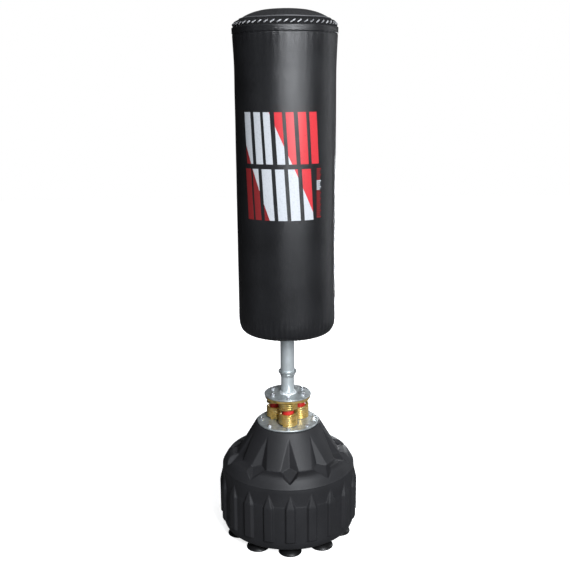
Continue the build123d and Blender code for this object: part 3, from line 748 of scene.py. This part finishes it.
def bolt_ring(label, count, ring, seat, body):
    """A ring of bolts, each head turned as it happened to end up when it was tightened."""
    heads, shims = [], []
    for k in range(count):
        angle = FRONT + TURN * k / count
        spot = (ring * math.cos(angle), ring * math.sin(angle))
        shims.append(washer(spot, seat, WASHER_RADIUS, WASHER_THICK))
        turn = rng.uniform(0, math.pi / 3)
        heads.append(hexagon_head(spot, seat + WASHER_THICK, HEAD_RADIUS, HEAD_HEIGHT, turn))
    bolts = mesh_piece(f"{label}_bolt_heads", *gather(heads), BRIGHT, 28)
    place(bolts, body, "fastener_steel", f"{label}_bolts")
    washers = mesh_piece(f"{label}_washer_rings", *gather(shims), BRIGHT, 35)
    place(washers, body, "fastener_steel", f"{label}_washers")


bolt_ring("flange", FLANGE_BOLTS, FLANGE_BOLT_RING, high("base_flange").z, "base")
bolt_ring("disc", DISC_BOLTS, DISC_BOLT_RING, high("post_plate").z, "post")

# Springs and buffers
SPRINGS = 3
COIL_RADIUS = 0.028
WIRE_WIDE, WIRE_TALL, WIRE_EDGE = 0.0088, 0.0068, 0.0021
SPRING_FOOT, SPRING_HEAD = low("spring_1").z, high("spring_1").z
SWAY_HEIGHT = frame["joints"][0]["pos_m"][2]
COIL_GAP = 0.0165
GAP_FOOT = 0.4445
STEPS_A_TURN = 60


def coil_heights():
    """The wire's middle at each step: closely wound, with one open turn that faces the front."""
    close = WIRE_TALL + 0.0004
    turns_below = (GAP_FOOT - SPRING_FOOT - WIRE_TALL) / close
    turns_above = (SPRING_HEAD - GAP_FOOT - COIL_GAP) / close
    start = -TURN * math.ceil(turns_below * STEPS_A_TURN) / STEPS_A_TURN
    end = TURN * math.ceil(turns_above * STEPS_A_TURN) / STEPS_A_TURN
    turn = np.arange(start, end + 1e-6, TURN / STEPS_A_TURN)
    opened = np.clip(turn / TURN, 0, 1)
    height = GAP_FOOT - WIRE_TALL / 2 + close * turn / TURN + COIL_GAP * opened
    limits = (SPRING_FOOT + WIRE_TALL / 2 + 0.0001, SPRING_HEAD - WIRE_TALL / 2 - 0.0001)
    return turn, np.clip(height, *limits)


def wire_section():
    """The wire's rounded rectangle as (outwards, upwards) points."""
    half_wide, half_tall = WIRE_WIDE / 2 - WIRE_EDGE, WIRE_TALL / 2 - WIRE_EDGE
    section = []
    for quarter, (x, z) in enumerate([(1, 1), (-1, 1), (-1, -1), (1, -1)]):
        for k in range(5):
            a = math.pi / 2 * (quarter + k / 4)
            section.append((x * half_wide + WIRE_EDGE * math.cos(a), z * half_tall + WIRE_EDGE * math.sin(a)))
    return np.array(section)


def coil(name, centre, turns, heights):
    section = wire_section()
    angles = FRONT + turns
    radius = COIL_RADIUS + section[:, 0]
    points = np.stack(
        [
            centre[0] + radius * np.cos(angles)[:, None],
            centre[1] + radius * np.sin(angles)[:, None],
            heights[:, None] + section[:, 1],
        ],
        axis=-1,
    ).reshape(-1, 3)
    sides = len(section)
    last = (len(turns) - 1) * sides
    faces = grid_faces(len(turns), sides)
    faces.append(tuple(range(sides))[::-1])
    faces.append(tuple(last + k for k in range(sides)))
    return mesh_piece(name, points, faces, GOLD, 50)


def buffer(name, node, spot):
    """A urethane buffer: a barrel with a rounded nose and a dimple for its screw."""
    foot, nose = low(node).z, high(node).z
    corners = [
        (0, foot), (0.0214, foot), (0.0222, foot + 0.004), (0.0214, foot + 0.02), (0.0202, nose - 0.01),
        (0.0184, nose - 0.0012), (0.015, nose), (0.005, nose), (0.004, nose - 0.002), (0, nose - 0.002),
    ]
    return turned(name, corners, RED, 0.003, 72, spot)


turns, coil_middles = coil_heights()
split = int(np.argmin(np.abs(coil_middles - SWAY_HEIGHT)))
for number in range(1, SPRINGS + 1):
    node = f"spring_{number}"
    buffer_node = f"buffer_{number}"
    middle = (low(buffer_node) + high(buffer_node)) / 2
    spot = (middle.x, middle.y)
    lower = coil(f"spring_{number}_lower", spot, turns[: split + 1], coil_middles[: split + 1])
    upper = coil(f"spring_{number}_upper", spot, turns[split:], coil_middles[split:])
    for half, bodies, foot, head in (
        (lower, ("base", "shock_springs"), SPRING_FOOT, SWAY_HEIGHT),
        (upper, ("shock_springs", "post"), SWAY_HEIGHT, SPRING_HEAD),
    ):
        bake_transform(half)
        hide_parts(node)
    place(buffer(f"red_buffer_{number}", buffer_node, spot), "base", "red_urethane", buffer_node)

# Bag cover
BAG_FLOOR = low("bottom_cover").z
BAG_CORNER = low("bag_cover").z
BAG_RADIUS = high("bottom_cover").x
RIM_RADIUS = high("bag_cover").x
RIM_TOP = 1.7045
RIM_SEAM = low("rim_band").z - 0.006
FLARE_START = 1.56
SLEEVE_HOLE = 0.029
STITCHES = 50
COVER_COLUMNS = 600
COVER_RIPPLES = waves(9, 3)
LEATHER_THICK = 0.0022
LIP_FOOT = RIM_TOP - 0.0025
PLEAT = 0.00035
LAP_HALF, LAP_RISE, LAP_EDGE = 0.01, 0.0011, 0.0015


def pleats(angle):
    """The gathers round the bag's lower corner, from -1 to 1."""
    return np.sin(64 * angle + 2 * np.sin(5 * angle))


def flared_radius(height):
    """The cover's radius: straight, then easing out to the rim."""
    rise = smoothstep((height - FLARE_START) / (RIM_TOP - FLARE_START) * 0.86)
    return BAG_RADIUS + (RIM_RADIUS - BAG_RADIUS) * rise


def cover_radius(height, angle):
    """The cover as it is stretched over the foam, with its seam, puckers and back lap."""
    radius = flared_radius(height) + 0.00045 * rippled(angle, height, COVER_RIPPLES)
    pulled = np.exp(-np.maximum(RIM_SEAM - height, 0) / 0.022) * (height < RIM_SEAM + 0.004)
    radius = radius + 0.00035 * pulled * np.cos(STITCHES * (angle - FRONT))
    radius = radius - 0.0016 * np.exp(-(((height - RIM_SEAM) / 0.0016) ** 2))
    radius = radius + 0.0011 * smoothstep((height - RIM_SEAM) / 0.003)
    gathered = np.exp(-np.maximum(height - BAG_CORNER, 0) / 0.018)
    radius = radius + PLEAT * gathered * pleats(angle)
    radius = radius - 0.0004 * np.exp(-np.maximum(height - BAG_CORNER, 0) / 0.003)
    lap = wrapped(angle - math.pi / 2) * BAG_RADIUS
    on_lap = smoothstep((lap + LAP_HALF) / LAP_EDGE), smoothstep((LAP_HALF - lap) / LAP_EDGE)
    return radius + LAP_RISE * on_lap[0] * on_lap[1]


def shell_piece(name, outside, thick, material):
    """A closed skin: the given round grid of points, and its inside a thickness further in."""
    inside = outside.copy()
    radius = np.hypot(outside[..., 0], outside[..., 1])
    shrink = np.maximum(radius - thick, 1e-4) / np.maximum(radius, 1e-4)
    inside[..., :2] *= shrink[..., None]
    return closed_skin(name, outside, inside, material)


cover_angles = round_angles(COVER_COLUMNS)
cover_rows = np.r_[
    np.linspace(BAG_CORNER, BAG_CORNER + 0.03, 18, endpoint=False),
    np.linspace(BAG_CORNER + 0.03, RIM_SEAM - 0.03, 130, endpoint=False),
    np.linspace(RIM_SEAM - 0.03, LIP_FOOT, 44, endpoint=False),
]
outer = ring_grid(cover_radius(cover_rows[:, None], cover_angles[None, :]), cover_rows, cover_angles)
lip_shape = [(0.0, 0.0), (-0.0006, 0.0012), (-0.002, 0.0024), (-0.0036, 0.0027)]
lip_radius = cover_radius(np.full((1, 1), LIP_FOOT), cover_angles[None, :])
lip = [ring_grid(lip_radius + dr, [LIP_FOOT + dz], cover_angles) for dr, dz in lip_shape]
cover = shell_piece("leather_cover", np.concatenate([outer, *lip]), LEATHER_THICK, LEATHER)
place(cover, "bag", "bag_leather", "bag_cover", "rim_band")


def bottom_skin():
    """The leather turned under the bag, gathered round its corner and flat below."""
    path = eased([
        (SLEEVE_HOLE, BAG_FLOOR), (0.06, BAG_FLOOR), (0.1, BAG_FLOOR), (0.132, BAG_FLOOR + 0.0004),
        (0.143, BAG_FLOOR + 0.003), (0.151, BAG_FLOOR + 0.01), (0.1565, BAG_FLOOR + 0.0195),
        (0.1597, BAG_FLOOR + 0.032), (BAG_RADIUS - 0.0002, BAG_CORNER),
    ], 2)
    angles = cover_angles[None, :]
    radius, height = path[:, :1], path[:, 1:]
    folded = smoothstep((radius - 0.09) / 0.05)
    pleat = pleats(angles) * folded
    turn_height = BAG_FLOOR + 0.008
    grown = radius + PLEAT * pleat * (height > turn_height)
    dropped = height + 0.00045 * (1 + pleat) * (height < turn_height)
    outside = ring_grid(grown, dropped, cover_angles)
    inside = outside.copy()
    upright = smoothstep((height - BAG_FLOOR) / 0.02)
    inward = np.maximum(radius - LEATHER_THICK * upright, SLEEVE_HOLE) / radius
    inside[..., :2] *= inward[..., None]
    inside[..., 2] += LEATHER_THICK * (1 - upright)
    return closed_skin("leather_bottom", outside, inside, LEATHER)


bottom = bottom_skin()
place(bottom, "bag", "bag_leather", "bottom_cover")

# Rim: gusset, piping, crown and lacing
PIPING_RING = (high("rim_piping").x - low("rim_piping").x) / 2 - 0.002
PIPING_HEIGHT = high("rim_piping").z - 0.0042
CROWN_TOP = high("top_cover").z


def between_stitches(angle):
    """1 between two stitches and -1 at a stitch."""
    return -np.cos(STITCHES * (angle - FRONT))


def gusset_skin():
    """The cloth band under the lacing and up to the piping, pulled in at each stitch."""
    path = eased([
        (0.1612, RIM_TOP - 0.014), (0.162, RIM_TOP + 0.002), (0.1616, RIM_TOP + 0.008),
        (0.1604, RIM_TOP + 0.0122), (0.1578, RIM_TOP + 0.0154), (0.152, RIM_TOP + 0.019),
        (0.146, RIM_TOP + 0.0222), (PIPING_RING - 0.001, PIPING_HEIGHT - 0.001),
        (PIPING_RING - 0.004, PIPING_HEIGHT - 0.0015),
    ], 3)
    radius, height = path[:, :1], path[:, 1:]
    angles = cover_angles[None, :]
    free = smoothstep((height - RIM_TOP) / 0.004) * smoothstep((PIPING_HEIGHT - height) / 0.01)
    puckers = np.sin(137 * angles + 3 * np.sin(7 * angles))
    puffed = 0.001 * free * between_stitches(angles) + 0.0005 * free * puckers
    outside = ring_grid(radius + puffed, height + 0.6 * puffed, cover_angles)
    return shell_piece("rim_cloth", outside, 0.002, BAND)


gusset = gusset_skin()
place(gusset, "bag", "bag_leather", "rim_gusset")

PIPING_STEPS, PIPING_SIDES, PIPING_RADIUS = 480, 12, 0.0019


def piping_cord():
    """The welt where the crown meets the gusset, a little wavy as sewing leaves it."""
    points = []
    for k in range(PIPING_STEPS):
        a = TURN * k / PIPING_STEPS
        ring = PIPING_RING + (0.0003 * math.sin(9 * a + 1) + 0.0002 * math.sin(31 * a))
        height = PIPING_HEIGHT + 0.0004 * math.sin(7 * a)
        for b in round_angles(PIPING_SIDES):
            out = ring + PIPING_RADIUS * math.cos(b)
            points.append((out * math.cos(a), out * math.sin(a), height + PIPING_RADIUS * math.sin(b)))
    return mesh_piece("piping_cord", points, grid_faces(PIPING_STEPS, PIPING_SIDES, True), TRIM)


place(piping_cord(), "bag", "rim_trim", "rim_piping")

CROWN_SHAPE = [
    (0.0, CROWN_TOP), (0.04, CROWN_TOP - 0.0015), (0.08, CROWN_TOP - 0.0055), (0.1, 1.7487),
    (0.12, 1.741), (0.135, 1.7335), (PIPING_RING - 0.0012, PIPING_HEIGHT - 0.0006),
]


def crown_skin():
    """The padded top: domed, with soft gathers that run in from the piping."""
    steps = 48
    share = np.linspace(0, 1, steps)
    radius = CROWN_SHAPE[-1][0] * share
    path = np.array(CROWN_SHAPE)
    slopes = np.polyfit(path[:, 0], path[:, 1], 4)
    dome = np.minimum(np.polyval(slopes, radius), CROWN_TOP)
    angles = cover_angles[None, :]
    gathered = smoothstep((share - 0.55) / 0.45)[:, None]
    relief = 0.0004 * gathered * np.sin(58 * angles + 2 * np.sin(4 * angles))
    relief = relief + 0.0005 * rippled(angles, 4 * share[:, None], COVER_RIPPLES) * (1 - share[:, None] ** 8)
    outside = ring_grid(radius[::-1], (dome[:, None] + relief)[::-1], cover_angles)
    inside = outside.copy()
    inside[..., 2] -= 0.002
    return closed_skin("crown_top", outside, inside, CROWN_LEATHER)


crown = crown_skin()
place(crown, "bag", "bag_leather", "top_cover")


STITCH_FOOT, STITCH_HEAD = 1.7097, 1.7172
STITCH_RING, PLY_RADIUS, PLY_OFFSET = 0.1612, 0.0013, 0.001


def lacing():
    """Whip stitches over the rim, each of two twisted plies that dip into the leather at both ends."""
    parts = []
    for k in range(STITCHES):
        angle = FRONT + TURN * k / STITCHES + rng.uniform(-0.004, 0.004)
        lean = rng.uniform(0.041, 0.047)
        foot = STITCH_FOOT + rng.uniform(-0.0007, 0.0007)
        head = STITCH_HEAD + rng.uniform(-0.0007, 0.0007)
        share = np.linspace(0, 1, 26)
        arch = np.sin(math.pi * share) ** 0.6
        turn = angle + lean * (2 * share - 1)
        radius = STITCH_RING - 0.0035 * share + 0.0034 * arch
        middle = round_points(radius, turn, foot + (head - foot) * share)
        out = round_points(1, turn, 0 * turn)
        side = np.tile([0, 0, 1.0], (len(turn), 1))
        twist = rng.uniform(0, math.pi) + TURN * 0.85 * share
        for ply in (0, math.pi):
            bend = np.cos(twist + ply)[:, None] * out + np.sin(twist + ply)[:, None] * side
            thick = PLY_RADIUS * (0.7 + 0.3 * np.sin(math.pi * share))
            parts.append(swept(middle + PLY_OFFSET * bend, thick, 8))
    return mesh_piece("lacing_stitches", *gather(parts), THREAD, 70)


place(lacing(), "bag", "lace_thread", "rim_lacing")


SEAM_PITCH, SEAM_STITCH, SEAM_END = 0.0062, 0.0048, 0.01


def seam_stitches():
    """Two rows of machine stitches down the back lap."""
    parts = []
    for side in (-0.0065, 0.0065):
        for k in range(int((RIM_SEAM - SEAM_END - BAG_CORNER - SEAM_END) / SEAM_PITCH)):
            foot = BAG_CORNER + SEAM_END + SEAM_PITCH * k
            heights = np.linspace(foot, foot + SEAM_STITCH, 6)
            angle = math.pi / 2 + side / BAG_RADIUS
            dip = 0.0005 * np.abs(np.linspace(-1, 1, 6)) ** 2
            radius = cover_radius(heights, np.full(6, angle)) + 0.0002 - dip
            parts.append(swept(round_points(radius, angle, heights), 0.0004, 6))
    return mesh_piece("back_seam_thread", *gather(parts), SEAM_THREAD, 70)


place(seam_stitches(), "bag", "bag_leather")

# Printed graphic
INK_LIFT, INK_THICK = 0.00012, 0.00022
STRIP, BAND_HEIGHT = 0.004, 0.02
SLANT = 0.06
TICKS, TICKS_LEFT, TICK_PITCH, TICK_HEIGHT, TICK_ROOM = 26, 0.0975, 0.0062, 0.0038, 0.004


def bar(left, width, top, bottom):
    """A slanted bar: (distance round the bag from its front, height) corners."""
    lean = SLANT * (top - bottom)
    return [(left + lean, bottom), (left + lean + width, bottom), (left + width, top), (left, top)]


def clipped(polygon, a, b, c):
    """The part of a polygon where a * s + b * z <= c."""
    kept = []
    for p, q in zip(polygon, polygon[1:] + polygon[:1]):
        here = a * p[0] + b * p[1] - c
        there = a * q[0] + b * q[1] - c
        if here <= 0:
            kept.append(p)
        if here * there < 0:
            t = here / (here - there)
            kept.append((p[0] + t * (q[0] - p[0]), p[1] + t * (q[1] - p[1])))
    return kept


def colour_line(start, end):
    """(a, b, c) of the line down and to the right through two points, 0 on it and less to its left."""
    (s0, z0), (s1, z1) = start, end
    a, b = z0 - z1, s1 - s0
    return a, b, a * s0 + b * z0


def flipped(line):
    """The same line with its sides exchanged."""
    return tuple(-x for x in line)


DARK_LINE = colour_line((-0.1384, 1.342), (-0.0548, 1.12))
RED_LINE = colour_line((-0.056, 1.452), (0.0905, 1.13))


def in_order(points, faces):
    """The same mesh with its points and faces sorted, because an extrusion's own order varies."""
    order = sorted(range(len(points)), key=points.__getitem__)
    place_of = {old: new for new, old in enumerate(order)}
    renumbered = [tuple(place_of[k] for k in face) for face in faces]
    turned_faces = [face[face.index(min(face)):] + face[:face.index(min(face))] for face in renumbered]
    return [points[k] for k in order], sorted(turned_faces)


def on_cover(polygon):
    """Points and faces of a thin closed film of ink that follows the cover."""
    shape = bmesh.new()
    shape.faces.new([shape.verts.new((s, z, 0)) for s, z in polygon])
    (left, foot), (right, top) = np.min(polygon, axis=0), np.max(polygon, axis=0)
    strips = [((cut, 0, 0), (1, 0, 0)) for cut in np.arange(math.ceil(left / STRIP) * STRIP, right, STRIP)]
    bands = [((0, cut, 0), (0, 1, 0)) for cut in np.arange(foot + BAND_HEIGHT, top, BAND_HEIGHT)]
    for spot, normal in strips + bands:
        geometry = shape.verts[:] + shape.edges[:] + shape.faces[:]
        bmesh.ops.bisect_plane(shape, geom=geometry, plane_co=spot, plane_no=normal)
    made = bmesh.ops.extrude_face_region(shape, geom=shape.faces[:])
    film = {v for v in made["geom"] if isinstance(v, bmesh.types.BMVert)}
    shape.verts.index_update()
    points = []
    for v in shape.verts:
        angle = FRONT + v.co.x / BAG_RADIUS
        radius = float(cover_radius(np.array([v.co.y]), np.array([angle]))[0]) + INK_LIFT
        radius += INK_THICK if v in film else -0.0004
        points.append((radius * math.cos(angle), radius * math.sin(angle), v.co.y))
    faces = [tuple(v.index for v in f.verts) for f in shape.faces]
    shape.free()
    return in_order(points, faces)


def printed_graphic():
    """Two rows of slanted bars in white and red, cut by long diagonals, and a ladder of ticks."""
    upper, lower = (1.451, 1.295), (1.28, 1.122)
    bars = []
    for row, left, strokes in (
        (upper, -0.148, ((0.026, 0.013), (0.024, 0.01), (0.022, 0.014), (0.024, 0.011), (0.024, 0.013),
                          (0.026, 0.011), (0.026, 0.0))),
        (lower, -0.145, ((0.0225, 0.007), (0.022, 0.012), (0.032, 0.012), (0.028, 0.012), (0.03, 0.013),
                          (0.03, 0.0))),
    ):
        for width, gap in strokes:
            bars.append(bar(left, width, *row))
            left += width + gap
    films = {"white": [], "red": [], "dark": []}
    for outline in bars:
        dark = clipped(outline, *DARK_LINE)
        rest = clipped(outline, *flipped(DARK_LINE))
        white = clipped(rest, *RED_LINE) if len(rest) > 2 else []
        red = clipped(rest, *flipped(RED_LINE)) if len(rest) > 2 else []
        for ink_name, polygon in (("dark", dark), ("white", white), ("red", red)):
            if len(polygon) > 2:
                films[ink_name].append(on_cover(polygon))
    for k in range(TICKS):
        top = lower[0] - TICK_PITCH * k
        if top - TICK_ROOM < lower[1]:
            break
        foot = top - TICK_HEIGHT
        right = TICKS_LEFT + (0.0135 if k % 3 else 0.0175)
        tick = [(TICKS_LEFT, foot), (right, foot), (right, top), (TICKS_LEFT, top)]
        films["white" if 6 <= k < 11 else "dark"].append(on_cover(tick))
    for name, material in (("white", WHITE_INK), ("red", RED_INK), ("dark", DARK_INK)):
        graphic = mesh_piece(f"print_{name}", *gather(films[name]), material, 30)
        place(graphic, "bag", "bag_leather")


printed_graphic()

# Stage: floor, light and camera
scene = bpy.context.scene
scene.view_settings.view_transform = "Standard"
scene.view_settings.look = "None"


def floor():
    """A plain floor: glowing white where it is seen directly, with faint shadows and a painted shade round
    the object where the glow is weaker, and dim to the other rays.
    """
    size = 9.0
    corners = [(-size, -size, 0), (size, -size, 0), (size, size, 0), (-size, size, 0)]
    material = bpy.data.materials.new("floor")
    material.use_nodes = True
    tree = material.node_tree
    tree.nodes.clear()
    matt = add(tree, "ShaderNodeBsdfDiffuse", {"Color": (0.75, 0.75, 0.75, 1)})
    away = add(tree, "ShaderNodeVectorMath", {0: place_in(tree)}, operation="LENGTH").outputs["Value"]
    # Painted shade: the glow is weaker near the object, which leaves a darker pool round its base, and
    # stronger far off, where the floor meets the white sky.
    glow_with_painted_shade = spread(tree, away, 0.8, 1.02, 0.4, 1.3)
    glow = add(tree, "ShaderNodeEmission", {"Color": (1, 1, 1, 1), "Strength": glow_with_painted_shade})
    bright = add(tree, "ShaderNodeAddShader", {0: matt.outputs[0], 1: glow.outputs[0]})
    dim = add(tree, "ShaderNodeBsdfDiffuse", {"Color": (0.16, 0.16, 0.165, 1)})
    seen = add(tree, "ShaderNodeLightPath").outputs["Is Camera Ray"]
    mixed = add(tree, "ShaderNodeMixShader", {0: seen, 1: dim.outputs[0], 2: bright.outputs[0]})
    add(tree, "ShaderNodeOutputMaterial", {"Surface": mixed.outputs[0]})
    plane = mesh_piece("floor", corners, [(0, 1, 2, 3)], material)
    plane.location.z = -0.0002


def sky():
    """White behind the object; for its reflections a dim room, lighter to the right."""
    world = bpy.data.worlds.new("world")
    scene.world = world
    world.use_nodes = True
    tree = world.node_tree
    tree.nodes.clear()
    direction = add(tree, "ShaderNodeTexCoord").outputs["Generated"]
    split = add(tree, "ShaderNodeSeparateXYZ", {0: direction})
    to_right = spread(tree, split.outputs["X"], 0.02, 0.12, -0.5, 1.0)
    room = add(tree, "ShaderNodeBackground", {"Color": (1, 1, 1, 1), "Strength": to_right})
    white = add(tree, "ShaderNodeBackground", {"Color": (1, 1, 1, 1), "Strength": 1.0})
    seen = add(tree, "ShaderNodeLightPath").outputs["Is Camera Ray"]
    mixed = add(tree, "ShaderNodeMixShader", {0: seen, 1: room.outputs[0], 2: white.outputs[0]})
    add(tree, "ShaderNodeOutputWorld", {"Surface": mixed.outputs[0]})


def softbox(name, azimuth, elevation, distance, aim, size, watts):
    """A rectangular light at an azimuth to the right of the front, in degrees, that looks at a height."""
    a, e = math.radians(azimuth), math.radians(elevation)
    target = Vector((0, 0, aim))
    back = Vector((math.sin(a) * math.cos(e), -math.cos(a) * math.cos(e), math.sin(e)))
    lamp = bpy.data.lights.new(name, "AREA")
    lamp.shape = "RECTANGLE"
    lamp.size, lamp.size_y = size
    lamp.energy = watts
    lamp.color = (0.93, 0.96, 1.0)
    light = bpy.data.objects.new(name, lamp)
    light.location = target + back * distance
    light.rotation_mode = "QUATERNION"
    light.rotation_quaternion = (-back).to_track_quat("-Z", "Y")
    scene.collection.objects.link(light)


floor()
sky()
softbox("key", 17, 16, 3.4, 1.42, (0.85, 1.5), 200)
softbox("overhead", 8, 66, 2.6, 0.5, (1.6, 1.3), 22)
softbox("right_edge", 118, 8, 2.6, 0.9, (0.4, 2.4), 11)
softbox("left_fill", -60, 8, 3.6, 0.8, (0.7, 2.0), 5)
softbox("back_fill", 166, -6, 3.4, 0.9, (1.0, 0.9), 50)

CAMERA_TILT = math.radians(76.58)
CAMERA_ROLL = math.radians(-0.47)
CAMERA_SWING = math.radians(-1.2)
CAMERA_SPOT = (-0.0062, -2.6643, 1.5162)
CAMERA_LENS = 51.668
lens = bpy.data.cameras.new("camera")
lens.lens = CAMERA_LENS
lens.sensor_width = 36
lens.clip_start = 0.05
camera = bpy.data.objects.new("camera", lens)
camera.matrix_world = (
    Matrix.Rotation(CAMERA_SWING, 4, "Z")
    @ Matrix.Translation(CAMERA_SPOT)
    @ Matrix.Rotation(CAMERA_TILT, 4, "X")
    @ Matrix.Rotation(CAMERA_ROLL, 4, "Z")
)
scene.collection.objects.link(camera)
scene.camera = camera
